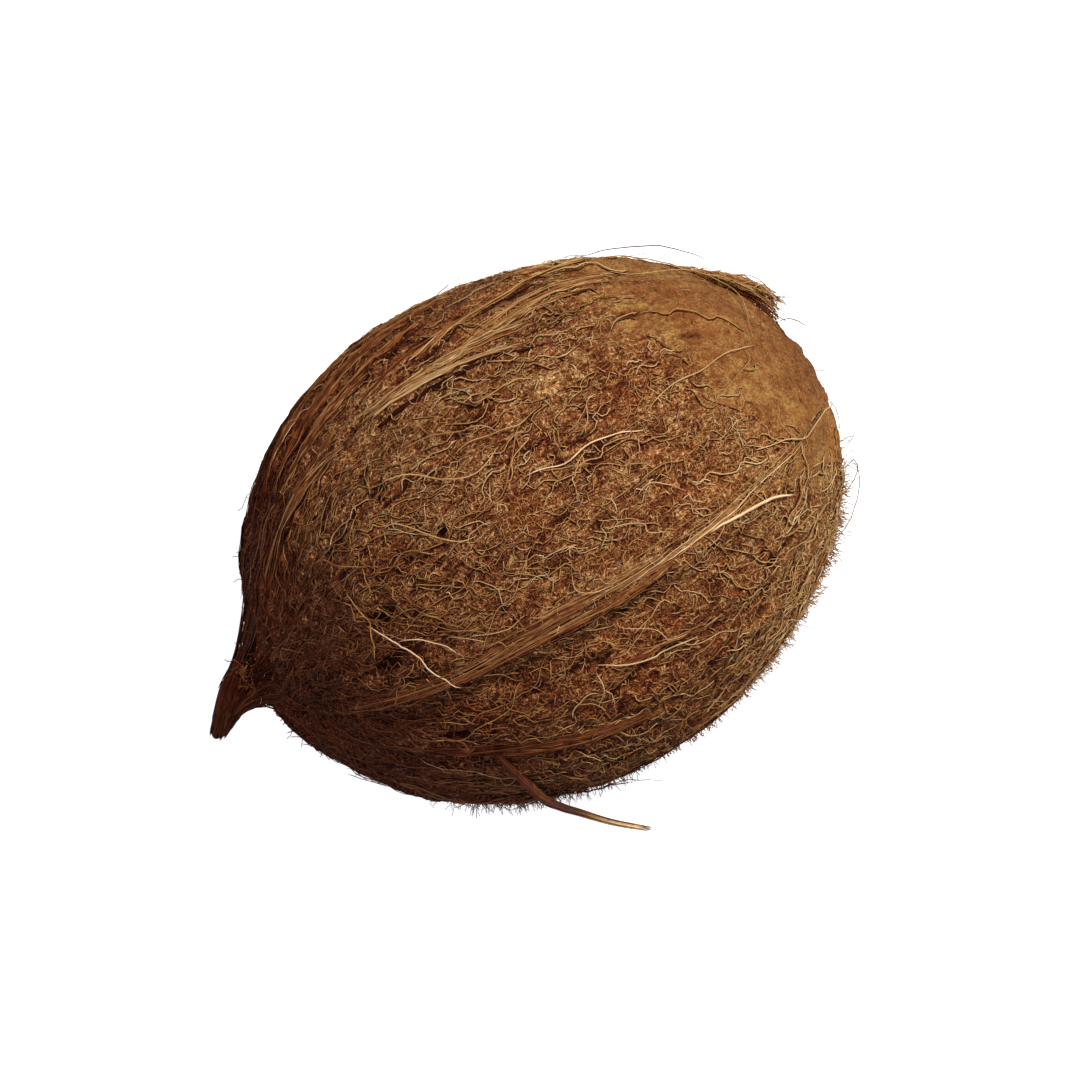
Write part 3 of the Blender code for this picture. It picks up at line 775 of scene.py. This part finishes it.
straps += [ribbon(f"tape_{number}", *values, (20, 4)) for number, values in enumerate(narrow_straps)]
bpy.ops.object.select_all(action="DESELECT")
for piece in straps:
    piece.select_set(True)
bpy.context.view_layer.objects.active = straps[0]
bpy.ops.object.join()
husk_straps = named("husk_straps")
husk_straps.data.materials.clear()
husk_straps.data.materials.append(strap_finish())
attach(husk_straps, "root")

run = runs(12)
fibre_points, fibre_radii, fibre_tones = [], [], []
for half_width, height, edge_lift, tone, places in WIDE_STRAPS + tuple(narrow_straps):
    for _ in range(int(half_width * FIBRES_PER_METRE)):
        first, last = sorted(draw.uniform(-0.06, 1.06, 2))
        if last - first < 0.25:
            first, last = 0.05, 0.95
        route = smooth_line(places, np.clip(first + (last - first) * run, 0.0, 1.0))
        across = draw.uniform(-1.3, 1.3) + draw.normal(0.0, 0.3) * (run - 0.5)
        across = across + 0.22 * np.sin(run * draw.uniform(3.0, 14.0) + draw.uniform(0.0, math.tau))
        route[:, 1] += across * half_width * degrees_across(route[:, 0])
        lift = 0.0002 + height * np.maximum(1.0 - across**2, 0.0) + edge_lift * smooth(-0.2, 1.0, across)
        lift = lift * np.sin(math.pi * np.clip(run, 0.06, 0.94)) ** 0.4 + 0.0001
        lift[0] = -ROOT_DEPTH
        fibre_points.append(on_nut(route[:, 0], route[:, 1], lift))
        fibre_radii.append(drawn_radii(draw.uniform([0.00005], [0.00011]), run)[0])
        fibre_tones.append(region_tone_and_shade(route[:, 0], route[:, 1]) + tone + draw.normal(0.03, 0.12))
strands("strap_fibres", fibre_points, fibre_radii, fibre_tones)


# Strands laid one by one
# The strands one would know this nut by: the pale splinter beside its front seam, the forked golden hair
# below it, the long hairs on both halves, and the loops that stand clear at the blunt end and over the top.
# The last ones are near-black tubes of painted shadow, laid in the crevices beside the straps and the front
# band.
LAID_STRANDS_AND_SHADOWS = (
    # radius in mm, tone, then degrees along, degrees round and lift in mm
    (0.34, 0.90, ((13, 44.5, -0.3), (18, 45, 0.6), (23, 46, 1.0), (29, 48, 1.2), (35, 53, 0.7))),
    (0.13, 0.86, ((3, 44, 0.5), (9, 44, 0.7), (17, 44, 0.7), (22, 44, 0.6), (30, 43, 0.5), (44, 44, 0.3))),
    (0.10, 0.78, ((-2, 44, 0.5), (6, 43, 0.7), (15, 43, 0.7), (24, 42, 0.5))),
    (0.10, 0.70, ((-16, 43, 0.5), (-8, 42.5, 0.6), (0, 42.6, 0.7), (8, 42, 0.5))),
    (0.09, 0.66, ((8, 42, 0.3), (20, 42.5, 0.6), (32, 41.5, 0.6), (44, 41, 0.2))),
    (0.10, 0.60, ((12, 44.6, 0.3), (24, 44.4, 0.7), (36, 43.6, 0.6), (46, 42.6, 0.2))),
    (0.09, 0.58, ((2, 41, 0.3), (14, 41.4, 0.6), (26, 40.4, 0.6), (34, 40, 0.2))),
    (0.10, 0.55, ((16, 46, 0.3), (26, 45.6, 0.7), (38, 45.6, 0.5), (44, 46, 0.2))),
    (0.08, 0.62, ((20, 43.2, 0.3), (30, 42.4, 0.6), (40, 42.6, 0.5), (50, 42, 0.2))),
    (0.09, 0.56, ((-4, 40, 0.3), (6, 39.6, 0.6), (18, 39, 0.6), (26, 37, 0.2))),
    (0.17, 0.78, ((-13, 57, 0.2), (-9, 59, 0.9), (-3, 62, 1.0), (2, 64, 1.1), (6, 65, 0.5))),
    (0.12, 0.80, ((-13, 58, 0.4), (-13, 62, 1.2), (-15, 67, 0.8))),
    (0.11, 0.78, ((-13, 62, 1.2), (-12, 65, 1.0), (-12, 69, 0.5))),
    (0.12, 0.75, ((-6, 50, 0.4), (-6, 52, 1.0), (-3, 54, 1.2), (-1, 56, 1.0), (0, 59, 0.8), (1, 63, 0.3))),
    (0.13, 0.72, ((-9, 36, 0.3), (-10, 39, 1.0), (-8, 41, 1.3), (-4, 42, 1.2))),
    (0.15, 0.72, ((-1, 31, 0.3), (-1, 33, 0.9), (-2, 34, 0.9), (-3, 35, 0.3))),
    (0.14, 0.70, ((-1, 32, 0.5), (2, 33, 0.9), (5, 35, 1.0), (5, 37, 0.9), (8, 39, 0.4))),
    (0.12, 0.85, ((7, 30, 0.3), (8, 29, 0.9), (10, 29, 1.0), (12, 31, 0.8), (13, 32, 0.3))),
    (0.13, 0.62, ((-21, -8, 0.3), (-17, -6, 1.0), (-13, -3, 1.3), (-8, 0, 1.2), (-6, 3, 0.6))),
    (0.15, 0.66, ((-15, 1, 0.3), (-12, 1, 0.8), (-9, 2, 1.1), (-6, 3, 1.3), (-3, 4, 1.0), (0, 3, 0.3))),
    (0.18, 0.68,
     ((-28, -6, 0.3), (-26, -4, 1.0), (-22, -1, 1.3), (-18, 5, 1.2), (-13, 8, 1.0), (-7, 5, 0.4))),
    (0.14, 0.66, ((-10, -11, 0.3), (-7, -8, 0.8), (-6, -5, 1.0), (0, -5, 1.0), (2, -5, 0.9), (4, -3, 0.4))),
    (0.13, 0.60, ((-44, 9, 0.3), (-44, 14, 1.3), (-43, 20, 1.7), (-45, 27, 1.3), (-47, 33, 0.3))),
    (0.19, 0.84, ((-45, 21, 0.3), (-42, 28, 1.2), (-39, 35, 1.6), (-37, 42, 1.8), (-34, 49, 1.0))),
    (0.14, 0.80, ((-41, 30, 1.3), (-37, 32, 1.5), (-34, 36, 1.3), (-32, 40, 0.5))),
    (0.12, 0.60, ((-43, 15, 0.5), (-40, 15, 1.4), (-39, 11, 1.4), (-39, 7, 0.4))),
    (0.17, 0.70, ((-32, 4, 0.3), (-29, 6, 1.0), (-25, 14, 1.2), (-22, 18, 1.2), (-19, 19, 0.4))),
    (0.12, 0.66, ((-33, 35, 0.3), (-30, 37, 1.0), (-27, 40, 0.4))),
    (0.20, 0.48, ((-48, -8, 0.2), (-44, -3, 0.9), (-42, 3, 1.1), (-38, 9, 0.3))),
    (0.14, 0.72, ((15, 16, 0.3), (23, 13, 1.0), (30, 13, 1.2), (38, 11, 1.1), (43, 11, 0.9), (49, 11, 0.2))),
    (0.11, 0.66, ((44, 11, 0.4), (43, 15, 1.0), (37, 18, 1.0), (29, 21, 0.9), (26, 21, 0.3))),
    (0.14, 0.62,
     ((24, -36, 0.3), (36, -26, 1.0), (50, -31, 1.3), (55, -26, 1.1), (55, -10, 0.9), (48, 11, 0.3))),
    (0.14, 0.22, ((28, -53, -0.3), (36, -50, 1.3), (44, -50, 3.0), (51, -46, 3.8), (57, -40, 3.6))),
    (0.12, 0.20, ((64, -24, 0.5), (67, -23, 2.5), (69, -22, 4.0), (70, -19, 5.4))),
    (0.12, 0.18, ((70, -13, -0.3), (71, -9, 2.6), (72, -3, 3.8), (73, 3, 4.4))),
    (0.10, 0.30, ((-22, 103, -0.3), (-18, 108, 1.4), (-13, 111, 1.8), (-8, 112, 4.0), (-3, 112, 7.5))),
    (0.18, 0.16, ((-26, 101, -0.3), (-20, 106, 1.0), (-14, 110, 1.8), (-10, 111, 3.4))),
    (0.12, 0.35, ((48, 76, -0.3), (54, 78, 2.2), (60, 82, 3.4), (64, 90, 2.8), (62, 100, -0.3))),
    (0.12, 0.35, ((42, 88, -0.3), (47, 90, 2.0), (54, 90, 3.6), (60, 86, 4.0), (64, 78, -0.3))),
    # painted shadow: near-black tubes in the crevices beside the front band and the straps
    (0.20, 0.05, ((-34, 44.0), (-22, 43.4), (-10, 43.5), (2, 43.8))),
    (0.74, 0.02, ((-23, -19.2), (-15, -17.5), (-9, -16.5), (-4, -15.7), (2, -14.2))),
    (0.38, 0.03, ((-12, -17.3), (-4, -15.6), (2, -14.4), (8, -11.4), (13, -9.6))),
    (0.38, 0.04, ((-32, -38.8), (-26, -37.6), (-19, -36.0), (-12, -36.8), (-6, -37.8), (3, -39.4))),
    (0.34, 0.04, ((-9, -27.2), (-5, -27.6), (-1, -28.0), (5, -30.2), (10, -31.6), (18, -33.8))),
    (0.52, 0.02, ((5, -30.0), (9, -30.8), (14, -32.0), (20, -33.8))),
    (0.20, 0.08, ((-22, -27.6), (-14, -27.0), (-6, -25.8), (2, -25.2))),
    (0.32, 0.03, ((-36, 47.6), (-22, 47.0), (-10, 46.8), (0, 46.9), (9, 46.4))),
    (0.20, 0.08, ((-44, 48), (-36, 49.5), (-28, 50))),
    (0.22, 0.08, ((-38, 62), (-28, 63), (-18, 66))),
    (0.20, 0.08, ((-46, -42), (-34, -43.6), (-20, -44.4))),
)
run = runs(22)
laid_points, laid_radii, laid_tones = [], [], []
for radius, tone, places in LAID_STRANDS_AND_SHADOWS:
    along, turn, lift = smooth_line([(*place, -0.05)[:3] for place in places], run).T
    laid_points.append(on_nut(along, turn, lift * 0.001))
    full = np.sin(math.pi * np.clip(run, 0.0, 1.0)) ** 0.5 * ((run > 0) & (run < 1))
    laid_radii.append(radius * 0.001 * full)
    laid_tones.append(tone + 0.04 * np.sin(run * 9.0))
strands("laid_strands_and_shadows", laid_points, laid_radii, laid_tones)


# The tuft
# The stalk's end, a drooping twist of dark fibre that narrows to a blunt tip. A lobed core is rooted in the
# pointed end, with fibres laid round it, and rusty fluff stands over its root.
TUFT_PLACE = (-79.0, -72.0)
TUFT_LENGTH = 0.0168
TUFT_ROOT_DEPTH = 0.0075
TUFT_RADII = (0.0056, 0.0012)
TUFT_TWIST = math.radians(70.0)
TUFT_BEND = np.array((-0.72, -0.32, -0.62))
TUFT_STEPS = 24
NECK = 0.30  # the share of the way down at which the tuft leaves the nut
WEB_FIBRES, TUFT_FIBRES, FLUFF_FIBRES = 900, 420, 420
UP = (0.0, 0.0, 1.0)

tuft_root, _ = shell(*np.array(TUFT_PLACE))
tuft_line = [laid_down(tuft_root + (TUFT_ROOT_DEPTH, 0.0, 0.0))]
for step in range(1, TUFT_STEPS + 1):
    droop = smooth(0.1, 0.8, step / TUFT_STEPS)
    straight = np.array((-math.cos(TILT), 0.0, -math.sin(TILT)))
    heading = unit(straight * (1.0 - droop) + unit(TUFT_BEND) * droop)
    tuft_line.append(tuft_line[-1] + heading * (TUFT_LENGTH + TUFT_ROOT_DEPTH) / TUFT_STEPS)
tuft_line = np.array(tuft_line)
tuft_ways = unit(np.gradient(tuft_line, axis=0))


def on_tuft(run, angle, share):
    """Places at shares of the way down the tuft, turned about its line, at shares of its radius."""
    at, steps = np.clip(run, 0.0, 1.0) * TUFT_STEPS, np.arange(TUFT_STEPS + 1)
    line, way = (
        np.stack([np.interp(at, steps, known[:, axis]) for axis in range(3)], -1)
        for known in (tuft_line, tuft_ways)
    )
    side = unit(np.cross(way, UP))
    over = np.cross(side, way)
    radius = TUFT_RADII[0] + (TUFT_RADII[1] - TUFT_RADII[0]) * np.clip(run, 0.0, 1.0)
    twisted = angle + TUFT_TWIST * run
    out = np.cos(twisted)[..., None] * side + np.sin(twisted)[..., None] * over
    return line + out * (radius * share * (1.0 + 0.10 * np.cos(5 * angle)))[..., None]


tuft_core, ball = round_piece("tuft_core", 48, 32)
core_run = 0.5 - 0.5 * ball[:, 2]
core_angle = np.arctan2(ball[:, 1], ball[:, 0])
core_share = np.minimum(1.0, 2.6 * np.hypot(ball[:, 0], ball[:, 1])) * 0.90
tuft_core.data.vertices.foreach_set("co", on_tuft(core_run, core_angle, core_share).ravel())
follow = np.stack([np.cos(core_angle), np.sin(core_angle), core_run * 5.0], -1) * 0.004
add_values(tuft_core.data, "follow", follow)
add_values(tuft_core.data, "tone", np.full(len(ball), 0.16))
add_values(tuft_core.data, "hollow", np.full(len(ball), 0.3))
bpy.ops.object.shade_smooth()
tuft_core.data.materials.append(husk_straps.data.materials[0])
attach(tuft_core, "root")

draw = np.random.default_rng(31)
run = runs(8)
count = WEB_FIBRES
roots = on_nut(draw.uniform(-84.0, -60.0, count), draw.uniform(-180.0, 180.0, count))
neck = on_tuft(np.array(NECK), np.array(0.0), np.array(0.0))
neck_way = tuft_ways[int(NECK * TUFT_STEPS)]
neck_side = unit(np.cross(neck_way, UP))
from_neck = roots - neck
angle = np.arctan2(from_neck @ np.cross(neck_side, neck_way), from_neck @ neck_side)
near = np.linalg.norm(from_neck, axis=1) < 0.017
angle, roots = angle[near, None], roots[near]
count = len(roots)
foot_run = draw.uniform(0.40, 0.78, (count, 1))
corner = on_tuft(np.full((count, 1), NECK), angle - TUFT_TWIST * NECK, np.full((count, 1), 1.2))
foot = on_tuft(foot_run, angle - TUFT_TWIST * foot_run, draw.uniform(0.92, 1.04, (count, 1)))
part = run[None, :, None]
web = (1 - part) ** 2 * roots[:, None, :] + 2 * part * (1 - part) * corner + part**2 * foot
web = web + draw.normal(0.0, 0.0003, (count, 1, 3)) * np.sin(math.pi * run)[None, :, None]
web_tones = 0.19 + draw.normal(0.0, 0.08, (count, 1))
strands("tuft_web", web, drawn_radii(draw.uniform(0.00008, 0.00016, count), run), web_tones)

run = runs(12)
count = TUFT_FIBRES
begin = draw.uniform(0.20, 0.70, (count, 1))
end = np.minimum(begin + draw.uniform(0.15, 0.65, (count, 1)), draw.uniform(0.85, 1.0, (count, 1)))
down = begin + (end - begin) * run
angle = draw.uniform(0.0, math.tau, (count, 1)) + draw.normal(0.0, 0.25, (count, 1)) * run
share = 0.90 + draw.uniform(0.02, 0.14, (count, 1)) + draw.uniform(-0.02, 0.16, (count, 1)) * run**3
share[:, 0] = 0.75
tuft_points = on_tuft(down, angle, share)
tuft_tones = np.where(np.sin(angle + 0.8) > 0.2, 0.19, 0.13) + draw.normal(0.0, 0.05, (count, 1))
strands("tuft_fibres", tuft_points, drawn_radii(draw.uniform(0.00010, 0.00022, count), run), tuft_tones)

count = FLUFF_FIBRES
steps = runs(7)
seat_run, seat_angle = draw.uniform(0.22, 0.40, (count, 1)), draw.normal(2.6, 0.55, (count, 1))
seat = on_tuft(seat_run, seat_angle - TUFT_TWIST * seat_run, np.full((count, 1), 1.0))
way = unit(draw.normal(0.0, 1.0, (count, 3)) * 0.6 + (-0.65, 0.35, 0.45))
sway = draw.normal(0.0, 0.0007, (count, 1, 3)) * np.sin(steps * 6.0)[None, :, None]
reach = draw.uniform(0.0010, 0.0042, (count, 1, 1)) * steps[None, :, None]
fluff_tones = np.clip(draw.normal(0.40, 0.12, (count, 1)), 0.15, 0.7)
fluff_radii = drawn_radii(draw.uniform(0.00007, 0.00013, count), steps)
strands("tuft_fluff", seat + way[:, None, :] * reach + sway, fluff_radii, fluff_tones)


# The frayed flap
# A tongue of husk fibre that tore loose near the blunt end. Its fibres are rooted side by side in the mat,
# lie towards the blunt end, and fray into a ragged edge that stands off it.
FLAP_ROOT = (42.0, -49.0)
FLAP_REACH = 27.0
FLAP_DRIFT = 23.0
FLAP_FAN = 9.0
FLAP_LIFT = 0.0042
FLAP_FIBRES = 300

draw = np.random.default_rng(41)
run = runs(10)
flap_points, flap_radii, flap_tones = [], [], []
for _ in range(FLAP_FIBRES):
    side = draw.normal(0.0, 0.55)
    begin = 18.0 * math.sqrt(draw.random()) + 3.0
    reach = draw.uniform(5.0, 15.0) * (1.0 - 0.25 * min(1.0, abs(side)))
    along = np.minimum(FLAP_ROOT[0] + begin + reach * run, FLAP_ROOT[0] + FLAP_REACH + 3.0)
    open_share = smooth(FLAP_ROOT[0] + 5.0, FLAP_ROOT[0] + FLAP_REACH, along)
    stray = draw.normal(0.0, 3.0) * run**2
    stray = stray + draw.uniform(0.3, 2.2) * np.sin(run * 8.0 + draw.uniform(0.0, 6.0))
    drift = FLAP_DRIFT * np.clip((along - FLAP_ROOT[0]) / FLAP_REACH, -0.5, 1.1)
    turn = FLAP_ROOT[1] + drift + side * (3.0 + FLAP_FAN * open_share) + stray
    level = draw.uniform(0.0, 1.0)
    lift = FLAP_LIFT * open_share * level + 0.0006 * draw.normal() * np.sin(run * 5.0) * open_share + 0.0003
    lift = np.maximum(lift, 0.0001)
    lift[0] = 0.5 * lift[0] * (begin > 6.0) - ROOT_DEPTH
    flap_points.append(on_nut(along, turn, lift))
    flap_radii.append(drawn_radii(draw.uniform([0.00006], [0.00013]), run)[0])
    # painted shade at the roots: each fibre a little darker towards its root
    flap_tones.append(np.full(10, 0.26 + 0.32 * level + draw.normal(0.0, 0.08)) + 0.05 * run)
strands("flap_fibres", flap_points, flap_radii, flap_tones)


# The trailing bundle
# A thick strand of many fibres that comes off the front of the nut and trails down to the surface. It is a
# thin core with fibres wound slackly round it, red-brown where it leaves the nut and straw-pale at its tip.
BUNDLE_LINE = (
    (-0.0343, -0.0391, 0.0606),
    (-0.0290, -0.0460, 0.0455),
    (-0.0239, -0.0464, 0.0340),
    (-0.0188, -0.0458, 0.0235),
    (-0.0114, -0.0470, 0.0115),
    (-0.0030, -0.0504, 0.0032),
)
BUNDLE_RADIUS = 0.00085
BUNDLE_FIBRES = 34

draw = np.random.default_rng(51)
run = runs(30)
line = smooth_line(BUNDLE_LINE, run)
way = unit(np.gradient(line, axis=0))
side = unit(np.cross(way, UP))
over = np.cross(side, way)
between_ends = (run > 0) & (run < 1)
slimmer = 1.0 - 0.45 * run
bundle_points, bundle_radii = [line], [BUNDLE_RADIUS * slimmer * between_ends]
bundle_tones = [0.24 + 0.45 * smooth(0.80, 1.0, run)]
for _ in range(BUNDLE_FIBRES):
    angle = draw.uniform(0.0, math.tau) + draw.uniform(0.5, 1.6) * run
    radius = 0.00082 * slimmer * draw.uniform(0.85, 1.15)
    out = np.cos(angle)[:, None] * side + np.sin(angle)[:, None] * over
    bundle_points.append(line + out * radius[:, None])
    bundle_radii.append(draw.uniform(0.00010, 0.00024) * (1.0 - 0.4 * run) * between_ends)
    shade = 0.30 + 0.48 * (np.cos(angle) > 0.15) * smooth(0.52, 0.80, run)
    bundle_tones.append(shade + draw.normal(0.0, 0.06) + 0.36 * smooth(0.84, 1.0, run))
strands("trailing_bundle", bundle_points, bundle_radii, bundle_tones)


# The floor, the light and the camera
# A plain pale sheet, a soft key light over the blunt end and a paler one opposite. The camera looks down on
# the nut from over its pointed end.
bpy.ops.mesh.primitive_plane_add(size=8.0, location=(0.0, 0.0, 0.0))
floor = named("floor")
paper, paper_inputs, _ = new_finish("paper", 0.9)
paper_inputs["Base Color"].default_value = (0.38, 0.38, 0.38, 1.0)
paper_inputs["Emission Color"].default_value = (1.0, 1.0, 1.0, 1.0)
paper_inputs["Emission Strength"].default_value = 0.89
floor.data.materials.append(paper)
floor.visible_diffuse = False

AZIMUTH, ELEVATION, DISTANCE = math.radians(-34.0), math.radians(60.0), 0.50
back = Vector((
    math.sin(AZIMUTH) * math.cos(ELEVATION), -math.cos(AZIMUTH) * math.cos(ELEVATION), math.sin(ELEVATION),
))
right = Vector((math.cos(AZIMUTH), math.sin(AZIMUTH), 0.0))
upward = back.cross(right)
nut_middle = Vector(laid_down(np.zeros(3)))
aim = nut_middle + 0.0003 * right - 0.0016 * upward


def studio_light(name, way, distance, size, power, colour):
    light = bpy.data.lights.new(name, "AREA")
    light.size, light.energy, light.color = size, power, colour
    lamp = added(name, light)
    lamp.location = nut_middle + way.normalized() * distance
    lamp.rotation_euler = way.to_track_quat("Z", "Y").to_euler()


studio_light("key", 0.53 * right + 0.50 * upward + 0.68 * back, 1.6, 0.35, 46.0, (1.0, 1.0, 0.97))
studio_light("fill", -0.50 * right - 0.25 * upward + 0.83 * back, 1.8, 1.8, 15.5, (1.02, 0.92, 1.36))
world = bpy.data.worlds.new("studio")
world.use_nodes = True
sky = world.node_tree.nodes["Background"].inputs
sky["Color"].default_value, sky["Strength"].default_value = (1.0, 1.0, 1.0, 1.0), 0.20
bpy.context.scene.world = world
bpy.context.scene.view_settings.view_transform = "Standard"

lens = bpy.data.cameras.new("camera")
lens.sensor_width, lens.lens = 36.0, 82.3
camera = added("camera", lens)
camera.location = aim + back * DISTANCE
camera.rotation_euler = back.to_track_quat("Z", "Y").to_euler()
bpy.context.scene.camera = camera

bpy.data.objects.remove(strand_outline)
